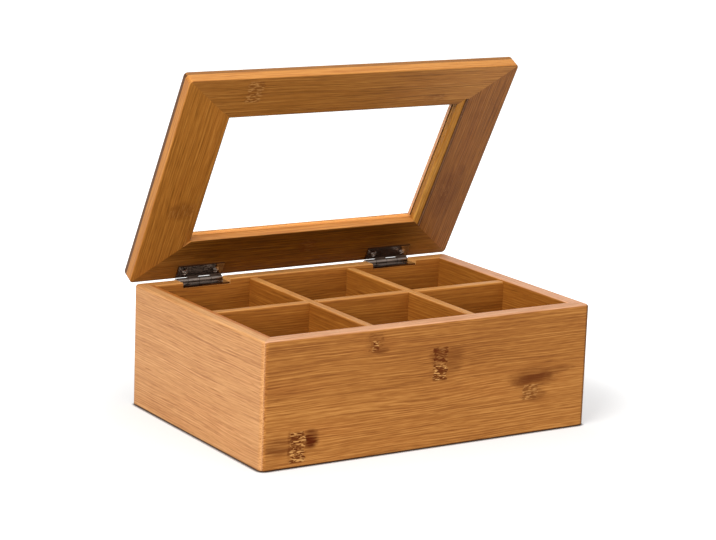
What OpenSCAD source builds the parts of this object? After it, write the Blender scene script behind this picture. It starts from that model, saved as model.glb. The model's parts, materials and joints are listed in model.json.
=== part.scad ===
// Tea bag organizer box: a mitred bamboo box with six compartments and a
// framed, glazed lid on two small butt hinges.
// Origin: centre of the underside. +X is the width, -Y the front, +Z up. Millimetres.

/* [Box] */
// Outside width of the box
box_w = 220; // [180:1:300]
// Outside depth of the box
box_d = 153; // [130:1:220]
// Height of the box without its lid
box_h = 73; // [60:1:110]
// Thickness of the four walls
wall_t = 10; // [10:0.5:14]
// Radius of the box's upright corners
corner_r = 3.5; // [3.5:0.5:6]
// Radius of the eased outer arrises of the walls
arris_r = 1.5; // [0.8:0.1:1.6]
// Radius of the eased inner arris of the rim
rim_r = 1; // [0.5:0.1:1.5]

/* [Base] */
// Thickness of the base panel
base_t = 4; // [3:0.5:6]
// How far the base panel's rabbet runs into the walls
base_rabbet = 4; // [3:0.5:6]

/* [Dividers] */
// Thickness of the divider boards
divider_t = 6; // [4:0.5:8]
// How far the dividers' tops lie below the rim
divider_drop = 1; // [0.5:0.5:4]
// Radius of the dividers' eased top arrises
divider_r = 1.2; // [0.6:0.1:1.8]
// Depth of the stopped dados in the walls
dado_depth = 3; // [2:0.5:4]
// Height of the shoulder above each stopped dado
dado_stop = 8; // [5:0.5:15]

/* [Lid] */
// Thickness of the lid frame
lid_t = 10; // [9:0.5:12]
// How far the lid stands past each side wall
lid_overhang = 2; // [0:0.5:3]
// How far the lid's front edge lies behind the front wall's face
lid_setback = 6; // [0:0.5:7]
// Width of the front and rear rails, from the outer edge to the window
rail_w = 28.5; // [24:0.5:36]
// Width of the side rails, from the outer edge to the window
stile_w = 33.5; // [24:0.5:38]
// Radius of the lid's corners
lid_corner_r = 2.5; // [2:0.25:5]
// Angle that the lid stands open, from closed
lid_open = 61.5; // [0:0.5:110]
// Gap between the rim and the closed lid
closed_gap = 0.3; // [0.3:0.1:1]

/* [Window] */
// Width of the glazing rabbet, and depth of the rear rail's groove
glaze_w = 5; // [2:0.25:6]
// Thickness of the lip that holds the pane
lip_t = 2.7; // [2:0.1:3]
// Thickness of the window pane
pane_t = 2; // [1.5:0.25:2.5]
// How far the glazing beads lie below the lid's inner face
bead_recess = 1.2; // [0.1:0.1:1.2]

/* [Hinges] */
// Width of each hinge
hinge_w = 31; // [24:1:36]
// Distance from the box's end to each hinge's middle
hinge_inset = 43.5; // [34:0.5:60]
// Length of a leaf, from the pin's axis to its free edge
leaf_l = 10.5; // [9:0.5:10.5]
// Thickness of the leaves
leaf_t = 1; // [0.8:0.1:1.2]
// Diameter of the hinge barrel
barrel_d = 3.5; // [3.4:0.1:4.5]
// Diameter of the hinge pin
pin_d = 1.7; // [1.4:0.1:1.8]
// Number of knuckles along the barrel
knuckles = 4; // [4:1:7]

/* [Screws] */
// Diameter of the hinge screws
screw_d = 2; // [1.6:0.1:2.4]
// Diameter of the screws' countersunk heads
screw_head_d = 4; // [3.4:0.1:4.4]
// Length of the screws
screw_l = 7.5; // [6:0.5:8.5]
// Distance between the two screws of a leaf
screw_pitch = 21; // [14:1:24]

/* [Fits] */
// Gap on each side of a divider in its dado or lap
wood_gap = 0.1; // [0.05:0.05:0.3]
// Gap around the base panel in its rabbet
panel_gap = 0.2; // [0.1:0.05:0.5]
// Gap around the pane in its rabbet
pane_gap = 0.3; // [0.1:0.1:0.6]
// Gap between a glazing bead and the rails
bead_gap = 0.15; // [0.1:0.05:0.3]
// Play of the pane in the rear rail's groove
groove_play = 0.1; // [0.05:0.05:0.3]
// Gap between neighbouring knuckles, and between a barrel and the other leaf
knuckle_gap = 0.3; // [0.2:0.05:0.5]
// Radial clearance of the pin in the knuckles that turn on it
run_gap = 0.05; // [0.02:0.01:0.09]
// Gap at each end of a hinge in its mortise
mortise_gap = 0.4; // [0.3:0.1:1]

/* [Hidden] */
$fn = 48;
eps = 0.5;                    // how far a cutter runs past the face that it opens
foot_r = 0.8;                 // eased outer arris at the foot of the walls
rail_back_r = 0.7;            // eased arris round the lid's inner face
rail_front_r = 2;             // eased arris round the lid's outer face
window_r = 0.8;               // eased arris round the window, outside
bead_r = 0.6;                 // eased arris of the glazing beads
seat_rise = 0.05;             // leaf faces stand this far inside the barrel's tangent
axis_out = 0.7;               // the pin's axis lies this far behind the rear wall's face
pin_seat_gap = 0.02;          // radial gap of the pin in the knuckles that hold it
tip_d = 0.4;                  // blunt point of a screw
head_dome = 0.3;              // crown of a screw head
slot_w = 0.5;                 // driver slot of a screw
slot_depth = 0.45;

inner_w = box_w - 2 * wall_t;
inner_d = box_d - 2 * wall_t;
divider_top = box_h - divider_drop;
divider_h = divider_top - base_t;
lap_z = base_t + divider_h / 2;
dado_top = divider_top - dado_stop;
cell_w = (inner_w - 2 * divider_t) / 3;
cross_x = cell_w / 2 + divider_t / 2;

lid_w = box_w + 2 * lid_overhang;
lid_d = box_d - lid_setback;
lid_y = lid_setback / 2;
lid_z = box_h + closed_gap;
pane_z = lid_t - lip_t - pane_t;
rail_edge = rail_w - glaze_w;
stile_edge = stile_w - glaze_w;

barrel_r = barrel_d / 2;
axis_y = box_d / 2 + axis_out;
axis_z = lid_z - barrel_r + seat_rise;
mortise_z = axis_z - barrel_r + seat_rise;
hinge_x = box_w / 2 - hinge_inset;
knuckle_pitch = hinge_w / knuckles;
screw_back = barrel_r + knuckle_gap + (leaf_l - barrel_r - knuckle_gap) / 2;
head_h = leaf_t;

// A rectangle with its low corner at the origin and a radius of its own at each corner:
// low left, low right, high right, high left.
module eased_rect(w, h, ll, lr, hr, hl) {
    difference() {
        square([w, h]);
        corner_trim(0, 0, ll, 0);
        corner_trim(w, 0, lr, 90);
        corner_trim(w, h, hr, 180);
        corner_trim(0, h, hl, 270);
    }
}

module corner_trim(x, y, r, turn) {
    if (r > 0)
        translate([x, y]) rotate(turn)
            difference() {
                translate([-eps, -eps]) square([r + eps, r + eps]);
                translate([r, r]) circle(r);
            }
}

// A bar along X whose outer face lies on y = 0, mitred at both ends to bars that are across
// deep, with turned upright corners. Its children are the section: x is the depth, y the height.
module mitred_bar(length, depth, height, r, across) {
    half = length / 2;
    lean = eps * across / depth;
    intersection() {
        union() {
            rotate([90, 0, 90]) translate([0, 0, r - half]) linear_extrude(length - 2 * r) children();
            if (r > 0)
                for (side = [-1, 1])
                    translate([side * (half - r), r, 0]) rotate_extrude()
                        intersection() {
                            translate([r, 0]) mirror([1, 0]) children();
                            square([r, height]);
                        }
        }
        translate([0, 0, -eps]) linear_extrude(height + 2 * eps)
            polygon([
                [-half - lean, -eps], [half + lean, -eps],
                [half - across, depth], [across - half, depth]
            ]);
    }
}

// Places its children, drawn with their outer face on y = 0, on one side of a w x d rectangle.
module on_front(d) translate([0, -d / 2, 0]) children();
module on_rear(d) rotate(180) translate([0, -d / 2, 0]) children();
module on_right(w) rotate(90) translate([0, -w / 2, 0]) children();
module on_left(w) rotate(-90) translate([0, -w / 2, 0]) children();

// ---- Box ----

module wall_section() {
    difference() {
        eased_rect(wall_t, box_h, foot_r, 0, rim_r, arris_r);
        translate([wall_t - base_rabbet, -eps]) square([base_rabbet + eps, base_t + eps]);
    }
}

module wall(length) mitred_bar(length, wall_t, box_h, corner_r, wall_t) wall_section();

// A stopped dado at x in a wall that lies in the mitred bar's own frame
module dado(x) {
    slot = divider_t + 2 * wood_gap;
    translate([x - slot / 2, wall_t - dado_depth, base_t - eps])
        cube([slot, dado_depth + eps, dado_top - base_t + eps]);
}

module cross_wall() {
    difference() {
        wall(box_w);
        for (side = [-1, 1]) dado(side * cross_x);
    }
}

module side_wall() {
    difference() {
        wall(box_d);
        dado(0);
    }
}

module front_wall() {
    color("#b5773f") on_front(box_d) cross_wall();
}

module rear_wall() {
    mortise_w = hinge_w + 2 * mortise_gap;
    color("#b5773f") difference() {
        on_rear(box_d) cross_wall();
        for (side = [-1, 1]) {
            translate([side * hinge_x - mortise_w / 2, inner_d / 2 - eps, mortise_z])
                cube([mortise_w, wall_t + 2 * eps, box_h - mortise_z + eps]);
            screw_pair_at(side, 0) pilot();
        }
    }
}

module left_wall() {
    color("#cf9460") on_left(box_w) side_wall();
}

module right_wall() {
    color("#c08048") on_right(box_w) side_wall();
}

module base_panel() {
    w = inner_w + 2 * (base_rabbet - panel_gap);
    d = inner_d + 2 * (base_rabbet - panel_gap);
    color("#a96f3c") translate([-w / 2, -d / 2, 0]) cube([w, d, base_t]);
}

// ---- Dividers ----

// A divider board along X with a tongue at each end for the stopped dados. Above the
// tongues its ends stop at the walls' faces.
module divider_board(span) {
    tongue = dado_depth - wood_gap;
    shoulder_z = dado_top - wood_gap;
    difference() {
        translate([-span / 2 - tongue, -divider_t / 2, base_t])
            rotate([90, 0, 90]) linear_extrude(span + 2 * tongue)
                eased_rect(divider_t, divider_h, 0, 0, divider_r, divider_r);
        for (far_end = [0, 1])
            mirror([far_end, 0, 0]) translate([span / 2 - wood_gap, -divider_t / 2 - eps, shoulder_z])
                cube([dado_depth + eps, divider_t + 2 * eps, divider_top - shoulder_z + eps]);
    }
}

// The slot that lets two boards cross, half a board high
module lap_slot(x, from_z) {
    slot = divider_t + 2 * wood_gap;
    translate([x - slot / 2, -divider_t / 2 - eps, from_z])
        cube([slot, divider_t + 2 * eps, divider_h / 2 + wood_gap + eps]);
}

module long_divider() {
    color("#bd8148") difference() {
        divider_board(inner_w);
        for (side = [-1, 1]) lap_slot(side * cross_x, lap_z - wood_gap);
    }
}

module cross_divider(side) {
    translate([side * cross_x, 0, 0]) rotate(90)
        difference() {
            divider_board(inner_d);
            lap_slot(0, base_t - eps);
        }
}

module left_cross_divider() {
    color("#bd8148") cross_divider(-1);
}

module right_cross_divider() {
    color("#bd8148") cross_divider(1);
}

// ---- Lid, drawn closed and then swung open about the hinge axis ----

module swing() {
    translate([0, axis_y, axis_z]) rotate([-lid_open, 0, 0]) translate([0, -axis_y, -axis_z]) children();
}

module on_lid() {
    swing() translate([0, lid_y, lid_z]) children();
}

// The section of a rail with a rabbet that is open to the lid's inner face
module rabbet_section(width) {
    difference() {
        eased_rect(width, lid_t, rail_back_r, 0, window_r, rail_front_r);
        translate([width - glaze_w, -eps]) square([glaze_w + eps, lid_t - lip_t + eps]);
    }
}

// The rear rail's section: the pane's edge slides into a groove
module groove_section() {
    difference() {
        eased_rect(rail_w, lid_t, rail_back_r, bead_r, window_r, rail_front_r);
        translate([rail_edge, pane_z - groove_play]) square([glaze_w + eps, pane_t + groove_play]);
    }
}

// Its child is the rail's section
module rail(length, width, across) {
    mitred_bar(length, width, lid_t, lid_corner_r, across) children();
}

module lid_front_rail() {
    color("#a06a35") on_lid() on_front(lid_d) rail(lid_w, rail_w, stile_w) rabbet_section(rail_w);
}

module lid_rear_rail() {
    color("#8a5526") difference() {
        on_lid() on_rear(lid_d) rail(lid_w, rail_w, stile_w) groove_section();
        swing() for (side = [-1, 1]) screw_pair_at(side, 1) pilot();
    }
}

module lid_left_rail() {
    color("#a06a35") on_lid() on_left(lid_w) rail(lid_d, stile_w, rail_w) rabbet_section(stile_w);
}

module lid_right_rail() {
    color("#8a5526") on_lid() on_right(lid_w) rail(lid_d, stile_w, rail_w) rabbet_section(stile_w);
}

module window_pane() {
    w = lid_w - 2 * (stile_edge + pane_gap);
    d = lid_d - 2 * (rail_edge + pane_gap);
    color([0.85, 0.93, 0.93, 0.35]) on_lid() translate([-w / 2, -d / 2, pane_z]) cube([w, d, pane_t]);
}

// A glazing bead lies between the rabbet's side and the window's edge, against the pane.
// edge is where the rabbet starts on its own rail, and end_edge on the rails at its ends.
module bead(length, edge, end_edge) {
    depth = glaze_w - bead_gap;
    height = pane_z - bead_recess;
    translate([0, edge + bead_gap, bead_recess])
        mitred_bar(length - 2 * (end_edge + bead_gap), depth, height, 0, depth)
            eased_rect(depth, height, 0, bead_r, 0, 0);
}

module front_bead() {
    color("#c58a4a") on_lid() on_front(lid_d) bead(lid_w, rail_edge, stile_edge);
}

// The rear rail's outline, moved forward by bead_gap: the side beads stop there
module rear_rail_room() {
    half = lid_w / 2;
    back = lid_d / 2 - bead_gap;
    translate([0, 0, -eps]) linear_extrude(lid_t + 2 * eps)
        polygon([
            [-half, back], [half, back],
            [half - stile_w, back - rail_w], [stile_w - half, back - rail_w]
        ]);
}

module left_bead() {
    color("#c58a4a") on_lid() difference() {
        on_left(lid_w) bead(lid_d, stile_edge, rail_edge);
        rear_rail_room();
    }
}

module right_bead() {
    color("#c58a4a") on_lid() difference() {
        on_right(lid_w) bead(lid_d, stile_edge, rail_edge);
        rear_rail_room();
    }
}

// ---- Hinges, each drawn about its pin: the axis is X through the origin, closed ----

// One leaf with every second knuckle. first is 0 or 1. The leaf lies at the barrel's
// underside and is turned over for the lid.
module leaf(first, bore_gap) {
    low = -barrel_r + seat_rise;
    edge = barrel_r + knuckle_gap;
    difference() {
        union() {
            translate([-hinge_w / 2, -leaf_l, low]) cube([hinge_w, leaf_l - edge, leaf_t]);
            for (i = [first:2:knuckles - 1])
                translate([-hinge_w / 2 + i * knuckle_pitch + knuckle_gap / 2, 0, 0]) {
                    translate([0, -edge - eps, low]) cube([knuckle_pitch - knuckle_gap, edge + eps, leaf_t]);
                    rotate([90, 0, 90]) cylinder(h = knuckle_pitch - knuckle_gap, r = barrel_r);
                }
        }
        translate([-hinge_w / 2 - eps, 0, 0]) rotate([90, 0, 90])
            cylinder(h = hinge_w + 2 * eps, d = pin_d + 2 * bore_gap);
        for (side = [-1, 1])
            translate([side * screw_pitch / 2, -screw_back, low]) {
                translate([0, 0, -eps]) cylinder(h = leaf_t + 2 * eps, d = screw_d + 4 * run_gap);
                cylinder(h = head_h, d1 = screw_d + 4 * run_gap, d2 = screw_head_d + 4 * run_gap);
            }
    }
}

// Puts its children at the hinge on one side of the box
module at_hinge(side) translate([side * hinge_x, axis_y, axis_z]) children();

// Turns a leaf over, end for end, onto the underside of the lid
module turned_over() mirror([0, 0, 1]) children();

// Puts a screw at both holes of a leaf, head up: on_lid_leaf is 0 for the box, 1 for the lid
module screw_pair_at(side, on_lid_leaf) {
    low = -barrel_r + seat_rise;
    at_hinge(side) mirror([0, 0, on_lid_leaf])
        for (hole = [-1, 1]) translate([hole * screw_pitch / 2, -screw_back, low]) children();
}

module pilot() {
    depth = screw_l - head_h + run_gap;
    translate([0, 0, -depth]) cylinder(h = depth + eps, d = screw_d + 4 * run_gap);
}

// A countersunk screw whose head fills a leaf's hole; z = 0 is the face that the leaf lies on
module screw() {
    shank = screw_l - head_h;
    difference() {
        union() {
            cylinder(h = head_h, d1 = screw_d, d2 = screw_head_d);
            translate([0, 0, head_h]) screw_crown();
            translate([0, 0, -shank + screw_d]) cylinder(h = shank - screw_d, d = screw_d);
            translate([0, 0, -shank]) cylinder(h = screw_d, d1 = tip_d, d2 = screw_d);
        }
        for (turn = [0, 90])
            rotate(turn) translate([-screw_head_d / 3, -slot_w / 2, head_h + head_dome - slot_depth])
                cube([screw_head_d * 2 / 3, slot_w, slot_depth + eps]);
    }
}

// The low crown on a screw head, cut from a sphere
module screw_crown() {
    rise = head_dome;
    ball_r = (screw_head_d * screw_head_d / 4 + rise * rise) / (2 * rise);
    rotate_extrude()
        intersection() {
            translate([0, rise - ball_r]) circle(ball_r);
            square([screw_head_d, rise]);
        }
}

module hinge_pin(side) {
    at_hinge(side) translate([-hinge_w / 2, 0, 0]) rotate([90, 0, 90]) cylinder(h = hinge_w, d = pin_d);
}

module left_hinge_box_leaf() {
    color("#a7a9ac") at_hinge(-1) leaf(0, pin_seat_gap);
}

module right_hinge_box_leaf() {
    color("#a7a9ac") at_hinge(1) leaf(0, pin_seat_gap);
}

module left_hinge_pin() {
    color("#c8cacc") hinge_pin(-1);
}

module right_hinge_pin() {
    color("#c8cacc") hinge_pin(1);
}

module left_box_screws() {
    color("#8f9194") screw_pair_at(-1, 0) screw();
}

module right_box_screws() {
    color("#8f9194") screw_pair_at(1, 0) screw();
}

module left_hinge_lid_leaf() {
    color("#a7a9ac") swing() at_hinge(-1) turned_over() leaf(1, run_gap);
}

module right_hinge_lid_leaf() {
    color("#a7a9ac") swing() at_hinge(1) turned_over() leaf(1, run_gap);
}

module left_lid_screws() {
    color("#8f9194") swing() screw_pair_at(-1, 1) screw();
}

module right_lid_screws() {
    color("#8f9194") swing() screw_pair_at(1, 1) screw();
}

front_wall();
rear_wall();
left_wall();
right_wall();
base_panel();
long_divider();
left_cross_divider();
right_cross_divider();
left_hinge_box_leaf();
right_hinge_box_leaf();
left_hinge_pin();
right_hinge_pin();
left_box_screws();
right_box_screws();
lid_front_rail();
lid_rear_rail();
lid_left_rail();
lid_right_rail();
window_pane();
front_bead();
left_bead();
right_bead();
left_hinge_lid_leaf();
right_hinge_lid_leaf();
left_lid_screws();
right_lid_screws();
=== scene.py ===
import json
import math

import bpy
from mathutils import Matrix, Vector

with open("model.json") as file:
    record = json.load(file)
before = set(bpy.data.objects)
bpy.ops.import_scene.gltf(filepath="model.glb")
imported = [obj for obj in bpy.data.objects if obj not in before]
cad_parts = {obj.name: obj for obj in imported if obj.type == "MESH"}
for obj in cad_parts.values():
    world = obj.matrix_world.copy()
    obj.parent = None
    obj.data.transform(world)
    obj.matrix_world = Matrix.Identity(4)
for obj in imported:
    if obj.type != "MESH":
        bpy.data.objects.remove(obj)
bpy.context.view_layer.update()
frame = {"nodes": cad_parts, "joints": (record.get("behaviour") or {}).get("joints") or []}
nodes = frame["nodes"]
scene = bpy.context.scene
MM = 0.001
WHITE = (1, 1, 1, 1)

# ---------------------------------------------------------------- camera
# solved from the straight edges in the photograph
AZIMUTH, ELEVATION, ROLL = (math.radians(v) for v in (-32.645, 12.479, 2.115))
CAMERA_AT = Vector((-750.6, -1166.9, 394.4)) * MM
FOCAL_PX, WIDTH_PX, SENSOR = 2432.7, 716.0, 36.0
NEAREST, FARTHEST = 0.05, 60


def place_camera():
    """The photograph's camera. It looks away from `back`, and the roll turns it about that line."""
    back = Vector(
        (
            math.sin(AZIMUTH) * math.cos(ELEVATION),
            -math.cos(AZIMUTH) * math.cos(ELEVATION),
            math.sin(ELEVATION),
        )
    )
    right = (-back).cross(Vector((0, 0, 1))).normalized()
    up = right.cross(-back).normalized()
    rolled_right = math.cos(ROLL) * right + math.sin(ROLL) * up
    rolled_up = -math.sin(ROLL) * right + math.cos(ROLL) * up
    turn = Matrix((rolled_right, rolled_up, back)).transposed().to_4x4()
    lens = bpy.data.cameras.new("camera")
    lens.sensor_width = SENSOR
    lens.lens = FOCAL_PX / WIDTH_PX * SENSOR
    lens.clip_start, lens.clip_end = NEAREST, FARTHEST
    camera = bpy.data.objects.new("camera", lens)
    scene.collection.objects.link(camera)
    camera.matrix_world = Matrix.Translation(CAMERA_AT) @ turn
    scene.camera = camera


place_camera()


# ---------------------------------------------------------------- node helpers
def rgb(red, green, blue):
    """An sRGB colour of 0 to 255 as the linear one that the shaders take."""
    out = []
    for v in (red, green, blue):
        v /= 255
        out.append(v / 12.92 if v <= 0.04045 else ((v + 0.055) / 1.055) ** 2.4)
    return (*out, 1.0)


class Tree:
    """Short ways to add nodes to one node tree. A value may be a socket or a plain value."""

    def __init__(self, tree):
        self.tree = tree

    def node(self, kind, **settings):
        made = self.tree.nodes.new("ShaderNode" + kind)
        for key, value in settings.items():
            setattr(made, key, value)
        return made

    def put(self, socket, value):
        if isinstance(value, bpy.types.NodeSocket):
            self.tree.links.new(value, socket)
        else:
            socket.default_value = value

    def maths(self, operation, *values, clamp=False):
        made = self.node("Math", operation=operation, use_clamp=clamp)
        for socket, value in zip(made.inputs, values):
            self.put(socket, value)
        return made.outputs[0]

    def times(self, first, *others):
        for other in others:
            first = self.maths("MULTIPLY", first, other)
        return first

    def size_of(self, value):
        return self.maths("ABSOLUTE", value)

    def most(self, first, second):
        return self.maths("MAXIMUM", first, second)

    def swing(self, value, by):
        """A value of 0 to 1 as one that swings evenly about 0, over `by` in all."""
        return self.times(self.maths("SUBTRACT", value, 0.5), by)

    def vector(self, operation, *values):
        made = self.node("VectorMath", operation=operation)
        for socket, value in zip(made.inputs, values):
            self.put(socket, value)
        return made.outputs[0]

    def split(self, vector):
        """The X, Y and Z of a vector."""
        made = self.node("SeparateXYZ")
        self.put(made.inputs[0], vector)
        return made.outputs

    def join(self, x=0.0, y=0.0, z=0.0):
        made = self.node("CombineXYZ")
        for socket, value in zip(made.inputs, (x, y, z)):
            self.put(socket, value)
        return made.outputs[0]

    def mix(self, factor, first, second, blend="MIX"):
        made = self.node("Mix", data_type="RGBA", blend_type=blend, clamp_factor=True)
        self.put(made.inputs[0], factor)
        self.put(made.inputs[6], first)
        self.put(made.inputs[7], second)
        return made.outputs[2]

    def tint(self, factor, colour, by):
        return self.mix(factor, colour, by, "MULTIPLY")

    def noise(self, point, scales, detail=2.0, roughness=0.55, distortion=0.0):
        """Noise with its own scale per metre along each axis."""
        made = self.node("TexNoise", noise_dimensions="3D")
        self.put(made.inputs["Vector"], self.vector("MULTIPLY", point, scales))
        made.inputs["Scale"].default_value = 1.0
        made.inputs["Detail"].default_value = detail
        made.inputs["Roughness"].default_value = roughness
        made.inputs["Distortion"].default_value = distortion
        return made.outputs["Fac"]

    def step(self, value, low, high, first=0.0, second=1.0):
        """A smooth step from first at low to second at high."""
        made = self.node("MapRange", interpolation_type="SMOOTHSTEP")
        for socket, v in zip(made.inputs, (value, low, high, first, second)):
            self.put(socket, v)
        return made.outputs[0]

    def bump(self, height, strength, distance):
        made = self.node("Bump")
        made.inputs["Strength"].default_value = strength
        made.inputs["Distance"].default_value = distance
        self.put(made.inputs["Height"], height)
        return made.outputs[0]


def new_group(name, inputs, outputs):
    """A node group with these (name, socket kind) inputs and outputs."""
    tree = bpy.data.node_groups.new(name, "ShaderNodeTree")
    for way, sockets in (("INPUT", inputs), ("OUTPUT", outputs)):
        for label, kind in sockets:
            tree.interface.new_socket(label, in_out=way, socket_type="NodeSocket" + kind)
    given = tree.nodes.new("NodeGroupInput")
    return Tree(tree), given.outputs, tree.nodes.new("NodeGroupOutput").inputs


def new_material(name):
    """A material, with its tree and its Principled shader."""
    material = bpy.data.materials.new(name)
    material.use_nodes = True
    return material, Tree(material.node_tree), material.node_tree.nodes["Principled BSDF"]


# ---------------------------------------------------------------- the lid's place
LID_HINGE = next(joint for joint in frame["joints"] if joint["name"] == "lid_hinge")
HINGE_AT = Vector(LID_HINGE["pos_m"])
# the lid is closed at the lower end of its travel
LID_OPEN = math.radians(-min(LID_HINGE["range_deg"]))
TO_CLOSED = (
    Matrix.Translation(HINGE_AT)
    @ Matrix.Rotation(LID_OPEN, 4, "X")
    @ Matrix.Translation(-HINGE_AT)
)


def moved(t, matrix):
    """The shaded point of the rest frame, moved by a matrix."""
    mapping = t.node("Mapping")
    mapping.inputs["Rotation"].default_value = matrix.to_euler()
    mapping.inputs["Location"].default_value = matrix.to_translation()
    t.put(mapping.inputs["Vector"], t.node("TexCoord").outputs["Object"])
    return mapping.outputs[0]


# ---------------------------------------------------------------- knuckle marks
# Noise scales are per metre along a board's grain, thickness and width. A step is given
# as where it starts and ends, and its values there. Within a mark, 1 is its half size.
WRIGGLE = (260, 260, 420)
WRIGGLE_SWING = 1.1
STROKES = (260, 260, 1150)
STROKE_DETAIL, STROKE_ROUGHNESS, STROKE_TWIST = 1.5, 0.55, 0.7
STROKES_PALE = (0.52, 0.60)
STROKES_DARK = (0.53, 0.43, 0.5, 1.0)
END_ALONG = (0.8, 1.05, 1.0, 0.0)
END_ACROSS = (0.9, 1.04, 1.0, 0.0)
END_DEEP = (0.9, 1.1, 1.0, 0.0)
SMEAR_ALONG, SMEAR_WRIGGLE, SMEAR_ACROSS = 0.6, 0.5, 0.8
SMEAR_EDGE = (0.0, 1.05, 1.0, 0.0)
SMEAR_FIBRES, SMEAR_DETAIL = (45, 620, 620), 1.5
SMEAR_STREAKS = (0.4, 0.58, 0.5, 1.0)


def make_node_mark():
    """A bamboo strip's knuckle: pale wriggling strokes on a brown patch, and a brown smear.
    Size is half the mark's size. The last three inputs say how strong each of them is."""
    t, given, out = new_group(
        "node_mark",
        [
            ("Point", "Vector"),
            ("Centre", "Vector"),
            ("Size", "Vector"),
            ("Knuckle", "Float"),
            ("Smear", "Float"),
            ("Light", "Float"),
        ],
        [("Dark", "Float"), ("Pale", "Float")],
    )
    point = given["Point"]
    away = t.vector("SUBTRACT", point, given["Centre"])
    along, deep, across = t.split(t.vector("DIVIDE", away, given["Size"]))
    shake = t.swing(t.noise(point, WRIGGLE), WRIGGLE_SWING)
    # the patch, with strokes in it
    side = t.step(t.size_of(t.maths("ADD", along, shake)), *END_ALONG)
    band = t.step(t.size_of(across), *END_ACROSS)
    near = t.step(t.size_of(deep), *END_DEEP)
    patch = t.times(side, band, near, given["Knuckle"])
    strokes = t.noise(point, STROKES, STROKE_DETAIL, STROKE_ROUGHNESS, STROKE_TWIST)
    t.put(out["Pale"], t.times(patch, t.step(strokes, *STROKES_PALE), given["Light"]))
    # the smear, an oval that the fibres break up
    reach = t.maths("ADD", t.times(along, SMEAR_ALONG), t.times(shake, SMEAR_WRIGGLE))
    rise = t.times(across, SMEAR_ACROSS)
    round_off = t.maths("ADD", t.times(reach, reach), t.times(rise, rise))
    fibre = t.step(t.noise(point, SMEAR_FIBRES, SMEAR_DETAIL), *SMEAR_STREAKS)
    smear = t.times(t.step(round_off, *SMEAR_EDGE), near, fibre, given["Smear"])
    t.put(out["Dark"], t.most(t.times(patch, t.step(strokes, *STROKES_DARK)), smear))
    return t.tree


# ---------------------------------------------------------------- bamboo
# a board's seed moves its grain along by so many metres, and a strip's tone by so many
SEED_STRIDE, STRIP_STRIDE = 0.731, 3.0
STRIP_WIDTH, STRIP_START = 19.4 * MM, -0.3 * MM
LAYER_THICKNESS = 5.2 * MM
# the glue line at a strip's edge, as shares of the strip's width
GLUE_LINE = (0.0, 0.018, 1.0, 0.0)
# how far the fibres waver, slowly and quickly
SLOW_WAVER, SLOW_SWING = (9, 30, 30), 3.4 * MM
QUICK_WAVER, QUICK_SWING = (45, 160, 160), 0.4 * MM
# the fibres: scales, detail and roughness
COARSE = (8, 260, 260), 1.0, 0.5
MIDDLE = (13, 760, 760), 1.0, 0.5
FINE = (20, 1300, 1300), 1.0, 0.55
HAIR = (110, 1900, 1900), 1.0, 0.5
BROAD = (10, 60, 60), 2.0, 0.5
PORES, PORE_STEP = ((60, 1300, 1300), 1.0, 0.5), (0.64, 0.74)
# bundles of fibres lie at a near regular pitch
BUNDLE_PITCH, BUNDLE_SLANT = 1.5 * MM, 0.83
BUNDLE_DRIFT, DRIFT_SWING = ((9, 140, 140), 1.0, 0.5), 20.0
BUNDLE_PATCHES, BUNDLE_STRENGTH = ((14, 260, 260), 1.0, 0.5), (0.3, 0.65, 0.15, 0.5)
# a reddish cast comes and goes
FLUSH, FLUSH_STEP = (14, 60, 60), (0.5, 0.8)
FLUSH_STRIPS, FLUSH_SHARE, FLUSH_BY = 0.25, 0.2, (1.0, 0.80, 0.76, 1)
PORE_SHARE, PORE_BY = 0.4, (0.52, 0.40, 0.30, 1)
GLUE_SHARE, GLUE_BY = 0.4, (0.60, 0.48, 0.38, 1)
MARK_DARK_SHARE, MARK_DARK = 0.9, rgb(80, 28, 0)
MARK_PALE_SHARE, MARK_PALE = 0.85, rgb(206, 152, 88)
# the arrises, lighter from wear and from a painted highlight, show the fibres faintly
WEAR_HIGHLIGHT_STEP, WEAR_HIGHLIGHT_BY = (0.1, 0.8), (0.74, 0.62, 0.52, 1)
# painted shade: laid along the box's foot, the lid's outer arris, the seams beside the beads and
# the edges that face away from the light
SHADE_COLOUR = rgb(58, 32, 16)
SEALED_ROUGHNESS, ROUGHER_FIBRES, ROUGHER_PORES = 0.36, 0.16, 0.1


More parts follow.
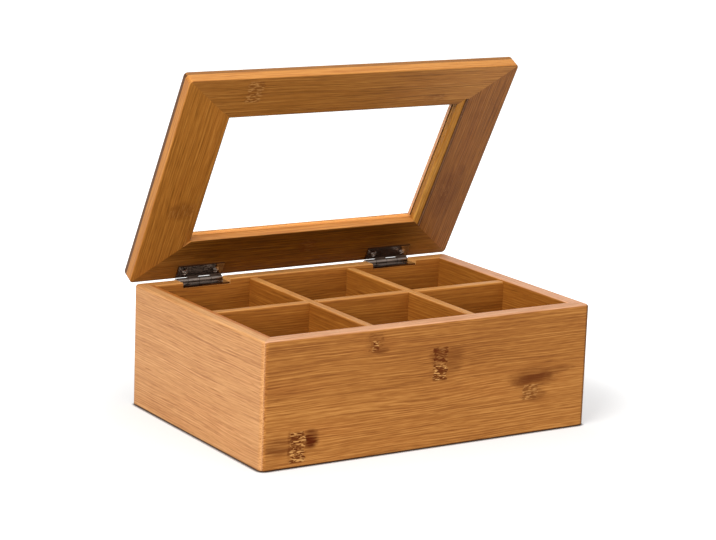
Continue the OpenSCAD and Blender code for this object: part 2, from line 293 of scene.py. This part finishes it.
def make_bamboo():
    """Carbonised bamboo board: strips glued side by side, long wavering fibres, dark pores.
    Point has the grain along X, the board's thickness along Y and its width along Z."""
    t, given, out = new_group(
        "bamboo",
        [
            ("Point", "Vector"),
            ("Seed", "Float"),
            ("Pale colour", "Color"),
            ("Mid colour", "Color"),
            ("Dark colour", "Color"),
            ("Contrast", "Float"),
            ("Dark", "Float"),
            ("Pale", "Float"),
            ("Wear and highlight", "Float"),
            ("Wear and highlight colour", "Color"),
            ("Painted shade", "Float"),
        ],
        [("Colour", "Color"), ("Roughness", "Float"), ("Height", "Float")],
    )
    seed = given["Seed"]
    started = t.vector("ADD", given["Point"], t.join(t.times(seed, SEED_STRIDE)))
    lift = t.maths(
        "ADD",
        t.swing(t.noise(started, SLOW_WAVER, 1.0), SLOW_SWING),
        t.swing(t.noise(started, QUICK_WAVER, 1.0), QUICK_SWING),
    )
    point = t.vector("ADD", started, t.join(y=lift, z=lift))
    # glued strips, each with a tone of its own
    _, deep, wide = t.split(given["Point"])
    strips = t.maths("DIVIDE", t.maths("SUBTRACT", wide, STRIP_START), STRIP_WIDTH)
    place = t.maths("FRACT", strips)
    layer = t.maths("FLOOR", t.maths("DIVIDE", deep, LAYER_THICKNESS))
    tone = t.node("TexWhiteNoise", noise_dimensions="3D")
    t.put(tone.inputs["Vector"], t.join(t.maths("FLOOR", strips), layer, seed))
    tone = tone.outputs["Value"]
    edge = t.maths("MINIMUM", place, t.maths("SUBTRACT", 1.0, place))
    seam = t.step(edge, *GLUE_LINE)
    # fibres, and their bundles
    own = t.vector("ADD", point, t.join(t.times(tone, STRIP_STRIDE)))
    coarse = t.noise(own, *COARSE)
    fine = t.noise(own, *FINE)
    pores = t.step(t.noise(own, *PORES), *PORE_STEP)
    _, own_deep, own_wide = t.split(own)
    slanted = t.maths("MULTIPLY_ADD", own_deep, BUNDLE_SLANT, own_wide)
    drift = t.times(t.noise(own, *BUNDLE_DRIFT), DRIFT_SWING)
    phase = t.maths("MULTIPLY_ADD", slanted, 2 * math.pi / BUNDLE_PITCH, drift)
    strength = t.step(t.noise(own, *BUNDLE_PATCHES), *BUNDLE_STRENGTH)
    bundles = t.maths("MULTIPLY_ADD", t.maths("SINE", phase), strength, 0.5)
    value = 0.5
    for source, share in (
        (coarse, 0.16),
        (t.noise(own, *MIDDLE), 0.34),
        (fine, 1.25),
        (bundles, 0.36),
        (t.noise(own, *HAIR), 0.85),
        (t.noise(own, *BROAD), 0.26),
        (tone, 0.2),
    ):
        value = t.maths("ADD", value, t.times(t.swing(source, share), given["Contrast"]))
    # dark to mid below one half, mid to pale above it
    upper = t.maths("MULTIPLY_ADD", value, 2.0, -1.0, clamp=True)
    lower = t.maths("MULTIPLY", value, 2.0, clamp=True)
    colour = t.mix(lower, given["Dark colour"], given["Mid colour"])
    colour = t.mix(upper, colour, given["Pale colour"])
    flush = t.step(t.noise(started, FLUSH), *FLUSH_STEP)
    flush = t.maths("MULTIPLY_ADD", tone, FLUSH_STRIPS, flush)
    colour = t.tint(t.times(flush, FLUSH_SHARE), colour, FLUSH_BY)
    colour = t.tint(t.times(pores, PORE_SHARE), colour, PORE_BY)
    colour = t.tint(t.times(seam, GLUE_SHARE), colour, GLUE_BY)
    colour = t.mix(t.times(given["Dark"], MARK_DARK_SHARE), colour, MARK_DARK)
    colour = t.mix(t.times(given["Pale"], MARK_PALE_SHARE), colour, MARK_PALE)
    # arrises and edges: lighter from wear and from a painted highlight
    wear_highlight = t.tint(1.0, given["Wear and highlight colour"], WEAR_HIGHLIGHT_BY)
    wear_highlight = t.mix(t.step(value, *WEAR_HIGHLIGHT_STEP), wear_highlight, given["Wear and highlight colour"])
    colour = t.mix(given["Wear and highlight"], colour, wear_highlight)
    # painted shade
    t.put(out["Colour"], t.mix(given["Painted shade"], colour, SHADE_COLOUR))
    rough = t.maths("ADD", SEALED_ROUGHNESS, t.times(fine, ROUGHER_FIBRES))
    t.put(out["Roughness"], t.maths("ADD", rough, t.times(pores, ROUGHER_PORES)))
    height = t.maths("ADD", t.times(fine, 0.6), t.times(coarse, 0.4))
    for groove, depth in ((pores, 0.35), (seam, 0.6), (given["Dark"], 0.3)):
        height = t.maths("SUBTRACT", height, t.times(groove, depth))
    t.put(out["Height"], height)
    return t.tree


NODE_MARK = make_node_mark()
BAMBOO = make_bamboo()

# ---------------------------------------------------------------- boards
# a board's own axes as rows: grain, thickness, width
WALL_X = Matrix(((1, 0, 0), (0, 1, 0), (0, 0, 1)))
WALL_Y = Matrix(((0, 1, 0), (-1, 0, 0), (0, 0, 1)))
FLAT_X = Matrix(((1, 0, 0), (0, 0, -1), (0, 1, 0)))
FLAT_Y = Matrix(((0, 1, 0), (0, 0, 1), (1, 0, 0)))

# tones, from pale to dark
FRONT_TONES = ((186, 128, 66), (160, 103, 48), (131, 78, 35))
# painted lighter than the front: light on the side that faces the key lamp
LEFT_LIT_TONES = ((217, 162, 108), (199, 142, 88), (169, 109, 61))
# a little darker than the front: painted shade in the compartments, which the rear and right walls
# also take outside
INNER_TONES = ((178, 117, 47), (152, 91, 30), (118, 65, 17))
LID_TONES = ((172, 118, 53), (148, 94, 37), (118, 72, 24))
# painted lighter: light on the lid's left rail and bead
LID_LEFT = ((188, 128, 56), (162, 103, 38), (128, 78, 24))
# painted shade on the lid's rear rail, which the box shades
LID_SHADED = ((118, 70, 10), (90, 48, 5), (62, 30, 2))
# lighter: the rear rail's painted shade eases towards its ends
LID_SHADE_EASED = ((148, 98, 42), (126, 78, 26), (96, 56, 14))
# painted light towards the right end of the lid's front rail
LID_LIT = ((190, 134, 68), (166, 110, 53), (135, 88, 38))
LID_RED = ((156, 102, 50), (131, 81, 36), (100, 57, 21))
# painted lighter: light on the lid's right bead
BEAD_LIT_TONES = ((206, 152, 72), (182, 124, 48), (148, 92, 28))
# arrises and edges: lighter from wear and from a painted highlight
HONEY = (240, 180, 108)
PINK = (246, 190, 150)
ROSE = (247, 195, 158)
SAND = (236, 182, 122)
AMBER = (212, 146, 74)
TAN = (194, 132, 68)
# painted amber shade on the inner side of a wall's rim
RIM_SHADE = (178, 100, 28)

# a board's arris begins and ends where this much of the normal lies along its thickness
ARRIS = (0.92, 0.55)
SHADED_ARRIS = (0.95, 0.85)
# and these are for the part of the normal along an axis of the frame
LID_INSIDE_OUT = (-0.3, 0.3)
FACES_THE_AXIS = (0.05, 0.4)
FACES_UP = (0.2, 0.6)
# painted shade on the lid's outer arris comes in over these heights of the closed lid, and over
# this width
ARRIS_SHADE = (78.9 * MM, 79.7 * MM)
ARRIS_SHADE_FADE = 1.0
# painted contact shade along the box's foot comes in over these heights
FOOT_SHADE = (1.2 * MM, 0.6 * MM, 0.0, 0.9)
# painted shade in the seam beside a bead comes in over these distances
SEAM_SHADE = (0.8 * MM, 0.5 * MM, 0.0, 0.75)
# the painted amber shade on a rim comes in over these distances from the wall's inner face
RIM_FROM, RIM_TO, RIM_SHADE_SHARE = 3.8, 2.4, 0.85
WOOD_IOR, WOOD_BUMP, WOOD_GROOVE = 1.5, 0.35, 0.3 * MM


def closed_normal(t, lid):
    """The surface's normal in the rest frame. A lid piece's is turned shut."""
    normal = t.node(
        "VectorTransform", vector_type="NORMAL", convert_from="WORLD", convert_to="OBJECT"
    )
    t.put(normal.inputs[0], t.node("NewGeometry").outputs["Normal"])
    closed = t.node("VectorRotate", rotation_type="X_AXIS")
    t.put(closed.inputs["Vector"], normal.outputs[0])
    closed.inputs["Angle"].default_value = LID_OPEN if lid else 0.0
    return closed.outputs[0]


def add_marks(t, point, axes, marks):
    """How dark and how pale the marks make a point."""
    dark, pale = 0.0, 0.0
    for centre, half_size, knuckle, smear, light in marks:
        mark = t.node("Group", node_tree=NODE_MARK)
        t.put(mark.inputs["Point"], point)
        mark.inputs["Centre"].default_value = axes @ (Vector(centre) * MM)
        half_size = axes @ (Vector(half_size) * MM)
        mark.inputs["Size"].default_value = [abs(v) for v in half_size]
        mark.inputs["Knuckle"].default_value = knuckle
        mark.inputs["Smear"].default_value = smear
        mark.inputs["Light"].default_value = light
        dark = t.most(dark, mark.outputs["Dark"])
        pale = t.most(pale, mark.outputs["Pale"])
    return dark, pale


def set_tones(t, grain, along, up, tones, lid, ends):
    """A board's tones. It may change them towards both its ends, or towards its right end
    alone. Inner faces of the lid's rails carry painted light and shade: outside, all four are
    alike. The lid's rails are matched on their inner faces: outside, all four are alike."""
    end_tones, near_end = tones, 0.0
    if ends:
        end_tones, first, last, both_ends = ends
        near_end = t.step(t.size_of(along) if both_ends else along, first * MM, last * MM)
    outside = t.step(up, *LID_INSIDE_OUT) if lid else 0.0
    keys = ("Pale colour", "Mid colour", "Dark colour")
    for key, tone, end_tone, outer_tone in zip(keys, tones, end_tones, LID_TONES):
        inner = t.mix(near_end, rgb(*tone), rgb(*end_tone))
        t.put(grain.inputs[key], t.mix(outside, inner, rgb(*outer_tone)))


def lid_arris_shade(t, height, across, turned, outer):
    """Painted shade along the lid's outer arris, which lies `outer` from its middle."""
    distance, share = outer
    painted_shade = t.step(t.size_of(height), *ARRIS_SHADE)
    painted_shade = t.times(painted_shade, t.step(turned, *SHADED_ARRIS, 0.0, share))
    begins = (distance - ARRIS_SHADE_FADE) * MM
    return t.times(painted_shade, t.step(t.size_of(across), begins, distance * MM))


def foot_shade(t):
    """Painted contact shade along the box's foot, where it stands."""
    height = t.split(t.node("TexCoord").outputs["Object"])[2]
    return t.step(height, *FOOT_SHADE)


def bamboo(
    name,
    axes,
    seed,
    tones,
    marks=(),
    lid=False,
    contrast=1.0,
    wear_highlight_colour=HONEY,
    wear_highlight_share=0.75,
    seam_shaded_at=None,
    dim=None,
    outer=(0, 0.5),
    ends=None,
    rim=None,
    gloss=0.15,
):
    """A board's material. Lengths are in millimetres, in the frame of the closed box.
    marks: see on_front and on_lid
    lid: whether the board turns with the lid
    wear_highlight_colour, wear_highlight_share: the colour of its arrises and edges, lighter from
    wear and from a painted highlight, and how far it is laid on
    seam_shaded_at: how far from the middle the seam between a rail and its bead runs, where shade
    is painted
    dim: (axis, share) for painted shade on the edges that face along that axis
    outer: (distance, share) for the painted shade on the lid's outer arris
    ends: (tones, from, to, both ends) for other tones towards its ends
    rim: where the inner face is of a wall whose rim gets a painted amber shade along it"""
    material, t, shader = new_material(name)
    point = moved(t, axes.to_4x4() @ (TO_CLOSED if lid else Matrix.Identity(4)))
    along, deep, across = t.split(point)
    normal = closed_normal(t, lid)
    facing = t.split(normal)
    thickness = t.node("VectorMath", operation="DOT_PRODUCT")
    t.put(thickness.inputs[0], normal)
    thickness.inputs[1].default_value = axes[1]
    turned = t.size_of(thickness.outputs["Value"])

    grain = t.node("Group", node_tree=BAMBOO)
    t.put(grain.inputs["Point"], point)
    grain.inputs["Seed"].default_value = seed
    grain.inputs["Contrast"].default_value = contrast
    set_tones(t, grain, along, facing[2], tones, lid, ends)
    dark, pale = add_marks(t, point, axes, marks)
    t.put(grain.inputs["Dark"], dark)
    t.put(grain.inputs["Pale"], pale)
    # arrises and edges: lighter from wear and from a painted highlight
    grain.inputs["Wear and highlight colour"].default_value = rgb(*wear_highlight_colour)
    t.put(grain.inputs["Wear and highlight"], t.step(turned, *ARRIS, 0.0, wear_highlight_share))

    # painted shade along the lid's outer arris, or painted contact shade along the box's foot
    painted_shade = lid_arris_shade(t, deep, across, turned, outer) if lid else foot_shade(t)
    # painted shade in the seam beside a bead
    if seam_shaded_at:
        off = t.maths("SUBTRACT", t.size_of(across), seam_shaded_at * MM)
        painted_shade = t.most(painted_shade, t.step(t.size_of(off), *SEAM_SHADE))
    # painted shade on the edges that face away from the light
    if dim:
        axis, share = dim
        painted_shade = t.most(painted_shade, t.step(facing[axis], *FACES_THE_AXIS, 0.0, share))
    t.put(grain.inputs["Painted shade"], painted_shade)

    colour = grain.outputs["Colour"]
    # painted amber shade along the inner side of a wall's rim
    if rim:
        inner = t.step(deep, (rim + RIM_FROM) * MM, (rim + RIM_TO) * MM, 0.0, RIM_SHADE_SHARE)
        inner = t.times(inner, t.step(facing[2], *FACES_UP))
        colour = t.mix(inner, colour, rgb(*RIM_SHADE))
    t.put(shader.inputs["Base Color"], colour)
    t.put(shader.inputs["Roughness"], grain.outputs["Roughness"])
    shader.inputs["IOR"].default_value = WOOD_IOR
    shader.inputs["Specular IOR Level"].default_value = gloss
    t.put(shader.inputs["Normal"], t.bump(grain.outputs["Height"], WOOD_BUMP, WOOD_GROOVE))
    return material


# the faces that carry marks, and how far a mark reaches to either side of them
FRONT_FACE, FRONT_DEEP = -77, 4
LID_FACE, LID_DEEP = 73.3, 3


def on_front(x, z, half_x, half_z, knuckle, smear, light):
    """A mark on the front wall: its centre, its half size and its strengths."""
    return (x, FRONT_FACE, z), (half_x, FRONT_DEEP, half_z), knuckle, smear, light


def on_lid(x, y, half_x, half_y, knuckle, smear, light):
    """A mark on the lid's inner face, placed with the lid closed."""
    return (x, y, LID_FACE), (half_x, half_y, LID_DEEP), knuckle, smear, light


FRONT_MARKS = (
    # at the lower left corner
    on_front(-87.1, 11.6, 5.1, 9.0, 1.0, 0.3, 1.0),
    on_front(-92.2, 13.0, 1.3, 8.6, 0.0, 0.8, 0.0),
    on_front(-78.8, 15.4, 3.8, 5.6, 0.0, 1.3, 0.0),
    on_front(-99.0, 13.0, 7.0, 5.0, 0.0, 0.65, 0.0),
    # above the middle
    on_front(5.2, 53.6, 5.2, 4.9, 1.0, 0.7, 0.2),
    on_front(5.4, 43.8, 5.2, 5.0, 1.0, 0.4, 1.0),
    on_front(14.0, 50.0, 6.0, 8.0, 0.0, 0.5, 0.0),
    # at the right
    on_front(69.4, 25.0, 5.8, 4.6, 0.7, 0.3, 0.8),
    on_front(71.5, 23.0, 6.5, 3.4, 0.0, 0.9, 0.0),
    on_front(71.0, 33.4, 12.5, 6.0, 0.0, 0.9, 0.0),
    on_front(84.0, 36.5, 11.0, 2.4, 0.0, 0.6, 0.0),
    # below the rim
    on_front(-38.4, 63.6, 2.2, 3.0, 1.0, 0.0, 1.0),
    on_front(-38.0, 66.0, 5.4, 5.6, 0.5, 0.5, 0.1),
    on_front(-35.0, 60.6, 4.0, 2.2, 0.0, 0.7, 0.0),
)
LID_FRONT_MARKS = (
    on_lid(-68.0, -60.5, 5.4, 7.8, 0.42, 0.2, 1.2),
    on_lid(59.3, -49.0, 6.0, 3.0, 0.35, 0.3, 0.4),
)
LID_LEFT_MARKS = (on_lid(-91.0, 24.0, 9.0, 5.0, 0.35, 0.5, 0.5),)
LID_RIGHT_MARKS = (
    on_lid(88.0, 24.0, 8.0, 5.0, 0.22, 0.2, 0.7),
    on_lid(93.0, 26.0, 9.0, 14.0, 0.0, 0.5, 0.0),
    on_lid(99.5, 9.0, 2.5, 3.5, 0.0, 0.5, 0.0),
)
LID_REAR_MARKS = (on_lid(5.0, 60.0, 5.0, 5.0, 0.4, 0.3, 0.2),)

# how far from the lid's middle its outer arris and the seams beside the beads run, where shade is
# painted
LONG_RAIL, SIDE_RAIL = (60, 0.5), (95, 0.85)
FRONT_SEAM, LEFT_SEAM, RIGHT_SEAM = 42, 78.5, 83.5
# the left wall's inner face, along whose rim an amber shade is painted
LEFT_WALL_INSIDE = 100
# painted shade on the edges that face right, or back
SHADED_RIGHT, SHADED_BACK = (0, 0.6), (1, 0.6)
# the rear rail's painted shade eases towards both its ends; the front rail is painted lighter
# towards its right end
SHADE_EASED_ENDS = (LID_SHADE_EASED, 55, 105, True)
LIT_RIGHT_END = (LID_LIT, 20, 100, False)

# a board's number is its seed: it picks the run of the grain and the strips' tones
finishes = {
    "front_wall": bamboo(
        "bamboo_front",
        WALL_X,
        56.0,
        FRONT_TONES,
        FRONT_MARKS,
        contrast=1.12,
        wear_highlight_colour=ROSE,
        wear_highlight_share=0.65,
        dim=SHADED_RIGHT,
        gloss=0.05,
    ),
    "rear_wall": bamboo("bamboo_rear", WALL_X, 2.0, INNER_TONES, contrast=0.75),
    "left_wall": bamboo(
        "bamboo_left",
        WALL_Y,
        94.0,
        LEFT_LIT_TONES,
        contrast=0.95,
        wear_highlight_colour=SAND,
        wear_highlight_share=0.5,
        dim=SHADED_BACK,
        rim=LEFT_WALL_INSIDE,
    ),
    "right_wall": bamboo(
        "bamboo_right", WALL_Y, 4.0, INNER_TONES, contrast=0.75, wear_highlight_colour=PINK
    ),
    "base_panel": bamboo("bamboo_base", FLAT_X, 5.0, INNER_TONES),
    "lid_front_rail": bamboo(
        "bamboo_lid_front",
        FLAT_X,
        9.0,
        LID_TONES,
        LID_FRONT_MARKS,
        lid=True,
        contrast=0.9,
        wear_highlight_colour=AMBER,
        wear_highlight_share=0.9,
        outer=LONG_RAIL,
        ends=LIT_RIGHT_END,
    ),
    "lid_rear_rail": bamboo(
        "bamboo_lid_rear",
        FLAT_X,
        10.0,
        LID_SHADED,
        LID_REAR_MARKS,
        lid=True,
        wear_highlight_colour=TAN,
        wear_highlight_share=0.9,
        outer=LONG_RAIL,
        ends=SHADE_EASED_ENDS,
    ),
    "lid_left_rail": bamboo(
        "bamboo_lid_left",
        FLAT_Y,
        11.0,
        LID_LEFT,
        LID_LEFT_MARKS,
        lid=True,
        contrast=0.9,
        wear_highlight_colour=AMBER,
        wear_highlight_share=0.7,
        outer=SIDE_RAIL,
    ),
    "lid_right_rail": bamboo(
        "bamboo_lid_right",
        FLAT_Y,
        12.0,
        LID_RED,
        LID_RIGHT_MARKS,
        lid=True,
        wear_highlight_colour=PINK,
        wear_highlight_share=0.8,
        seam_shaded_at=RIGHT_SEAM,
        dim=SHADED_RIGHT,
        outer=SIDE_RAIL,
    ),
}
for node, name, axes, seed in (
    ("long_divider", "bamboo_long_divider", WALL_X, 6.0),
    ("left_cross_divider", "bamboo_left_divider", WALL_Y, 7.0),
    ("right_cross_divider", "bamboo_right_divider", WALL_Y, 8.0),
):
    finishes[node] = bamboo(name, axes, seed, INNER_TONES, contrast=0.75, wear_highlight_share=0.5)
for node, name, axes, seed, tones, contrast, seam_shaded_at in (
    ("front_bead", "bamboo_bead_front", FLAT_X, 13.0, LID_TONES, 0.7, FRONT_SEAM),
    ("left_bead", "bamboo_bead_left", FLAT_Y, 15.0, LID_LEFT, 0.8, LEFT_SEAM),
    ("right_bead", "bamboo_bead_right", FLAT_Y, 16.0, BEAD_LIT_TONES, 1.0, RIGHT_SEAM),
):
    finishes[node] = bamboo(
        name, axes, seed, tones, lid=True, contrast=contrast, wear_highlight_colour=AMBER, wear_highlight_share=0, seam_shaded_at=seam_shaded_at
    )

# ---------------------------------------------------------------- metal and glass
SMUDGES, POLISH = (160, 160, 160), (700, 700, 700)
SMUDGE_SHARE, POLISH_SHARE = 0.6, 0.4
UNEVEN = (0.3, 0.7)
TARNISH, TARNISH_BY = (0.35, 0.7), 0.9
METAL_BUMP, METAL_GROOVE = 0.12, 0.2 * MM


def metal(name, colour, smooth, rough):
    """Plated steel whose polish is slightly uneven, between two roughnesses."""
    material, t, shader = new_material(name)
    place = t.node("TexCoord").outputs["Object"]
    smudge = t.noise(place, SMUDGES, 3.0)
    lines = t.noise(place, POLISH)
    uneven = t.maths("ADD", t.times(smudge, SMUDGE_SHARE), t.times(lines, POLISH_SHARE))
    t.put(shader.inputs["Roughness"], t.step(uneven, *UNEVEN, smooth, rough))
    tarnished = rgb(*[v * TARNISH_BY for v in colour])
    tint = t.mix(t.step(smudge, *TARNISH), rgb(*colour), tarnished)
    t.put(shader.inputs["Base Color"], tint)
    shader.inputs["Metallic"].default_value = 1.0
    t.put(shader.inputs["Normal"], t.bump(lines, METAL_BUMP, METAL_GROOVE))
    return material


GLASS, GLASS_SHADOW, GLASS_IOR = (0.985, 0.99, 0.985, 1), (0.95, 0.96, 0.95, 1), 1.45
WIPED, WIPED_ROUGHNESS = (25, 25, 25), (0.45, 0.8, 0.0, 0.03)
# the pane's edge that lies in the rear rail's groove, with the lid closed
BEDDED = (46.8 * MM, 47.0 * MM)
SEALANT = rgb(250, 186, 112)


def pane_glass():
    """Clear glass, faintly wiped, that lets light through to the box. Its rear edge is
    bedded in tan sealant."""
    material, t, shader = new_material("pane_glass")
    shader.inputs["Base Color"].default_value = GLASS
    shader.inputs["Transmission Weight"].default_value = 1.0
    shader.inputs["IOR"].default_value = GLASS_IOR
    wipe = t.noise(t.node("TexCoord").outputs["Object"], WIPED, 3.0)
    t.put(shader.inputs["Roughness"], t.step(wipe, *WIPED_ROUGHNESS))
    clear = t.node("BsdfTransparent")
    clear.inputs[0].default_value = GLASS_SHADOW
    glass = t.node("MixShader")
    t.put(glass.inputs[0], t.node("LightPath").outputs["Is Shadow Ray"])
    t.put(glass.inputs[1], shader.outputs[0])
    t.put(glass.inputs[2], clear.outputs[0])
    bed = t.node("BsdfDiffuse")
    bed.inputs[0].default_value = SEALANT
    pane = t.node("MixShader")
    t.put(pane.inputs[0], t.step(t.split(moved(t, TO_CLOSED))[1], *BEDDED))
    t.put(pane.inputs[1], glass.outputs[0])
    t.put(pane.inputs[2], bed.outputs[0])
    t.put(material.node_tree.nodes["Material Output"].inputs[0], pane.outputs[0])
    return material


nickel = metal("nickel", (134, 121, 112), 0.06, 0.16)
pin_steel = metal("pin_steel", (170, 166, 160), 0.15, 0.3)
screw_nickel = metal("screw_nickel", (190, 180, 172), 0.10, 0.22)
for side in ("left", "right"):
    finishes[side + "_hinge_box_leaf"] = nickel
    finishes[side + "_hinge_lid_leaf"] = nickel
    finishes[side + "_hinge_pin"] = pin_steel
    finishes[side + "_box_screws"] = screw_nickel
    finishes[side + "_lid_screws"] = screw_nickel
finishes["window_pane"] = pane_glass()

for name, piece in nodes.items():
    for slot in piece.material_slots:
        slot.material = finishes[name]

# ---------------------------------------------------------------- floor and light
FLOOR_HALF, FLOOR_BELOW = 20.0, 0.05 * MM
# painted contact shade: the floor is dark where the box stands on it
CONTACT_REACH, CONTACT_SAMPLES = 3 * MM, 8
CONTACT = (0.45, 0.9, 0.16, 1.0)
CONTACT_COLOUR, PAPER = (0.10, 0.055, 0.03, 1), (0.55, 0.55, 0.55, 1)
# and the paper's own white fades in around the box, so that its shadow shows
FADE_IN = (0.135, 0.25, 0.48, 1.0)
DAYLIGHT = 0.31


def background_rays(t):
    """1 for the rays that show the background: camera, mirror and glass rays."""
    path = t.node("LightPath")
    seen = t.most(path.outputs["Is Camera Ray"], path.outputs["Is Glossy Ray"])
    return t.most(seen, path.outputs["Is Transmission Ray"])


def floor_paper():
    """White paper: matt, with a glow of its own that lifts it to the background's white."""
    material, t, _ = new_material("floor_paper")
    shut_in = t.node("AmbientOcclusion", samples=CONTACT_SAMPLES)
    shut_in.inputs["Distance"].default_value = CONTACT_REACH
    contact = t.step(shut_in.outputs["AO"], *CONTACT)
    matt = t.node("BsdfDiffuse")
    t.put(matt.inputs[0], t.mix(contact, CONTACT_COLOUR, PAPER))
    on_floor = t.vector("MULTIPLY", t.node("TexCoord").outputs["Object"], (1.0, 1.0, 0.0))
    reach = t.node("VectorMath", operation="LENGTH")
    t.put(reach.inputs[0], on_floor)
    level = t.times(t.step(reach.outputs["Value"], *FADE_IN), t.times(contact, contact))
    glow = t.node("Emission")
    t.put(glow.inputs["Strength"], t.times(background_rays(t), level))
    paper = t.node("AddShader")
    t.put(paper.inputs[0], matt.outputs[0])
    t.put(paper.inputs[1], glow.outputs[0])
    t.put(material.node_tree.nodes["Material Output"].inputs[0], paper.outputs[0])
    return material


floor_mesh = bpy.data.meshes.new("floor")
corners = [(x * FLOOR_HALF, y * FLOOR_HALF, 0) for x, y in ((-1, -1), (1, -1), (1, 1), (-1, 1))]
floor_mesh.from_pydata(corners, [], [(0, 1, 2, 3)])
floor_mesh.materials.append(floor_paper())
floor = bpy.data.objects.new("floor", floor_mesh)
scene.collection.objects.link(floor)
floor.location.z = -FLOOR_BELOW


def light_world():
    """A white background that lights the box much more weakly than it looks."""
    world = bpy.data.worlds.new("studio")
    scene.world = world
    world.use_nodes = True
    t = Tree(world.node_tree)
    sky = world.node_tree.nodes["Background"]
    sky.inputs[0].default_value = WHITE
    t.put(sky.inputs["Strength"], t.most(background_rays(t), DAYLIGHT))


LAMPS_AIM = (0, 0, 0.08)


def lamp(name, place, size, watts, colour=(1, 1, 1)):
    """A rectangular lamp that is turned to the box."""
    data = bpy.data.lights.new(name, "AREA")
    data.shape = "RECTANGLE"
    data.size, data.size_y = size
    data.energy = watts
    data.color = colour
    made = bpy.data.objects.new(name, data)
    scene.collection.objects.link(made)
    made.location = place
    made.rotation_mode = "QUATERNION"
    made.rotation_quaternion = (Vector(LAMPS_AIM) - Vector(place)).to_track_quat("-Z", "Y")


light_world()
lamp("key", (-1.7, -0.8, 1.25), (1.3, 1.3), 46.0, (1.0, 0.98, 0.95))
lamp("front", (0.1, -2.0, 0.45), (1.6, 0.7), 20.0)
lamp("top", (0.15, 0.1, 1.6), (1.4, 1.0), 6.0)

scene.view_settings.view_transform = "Standard"
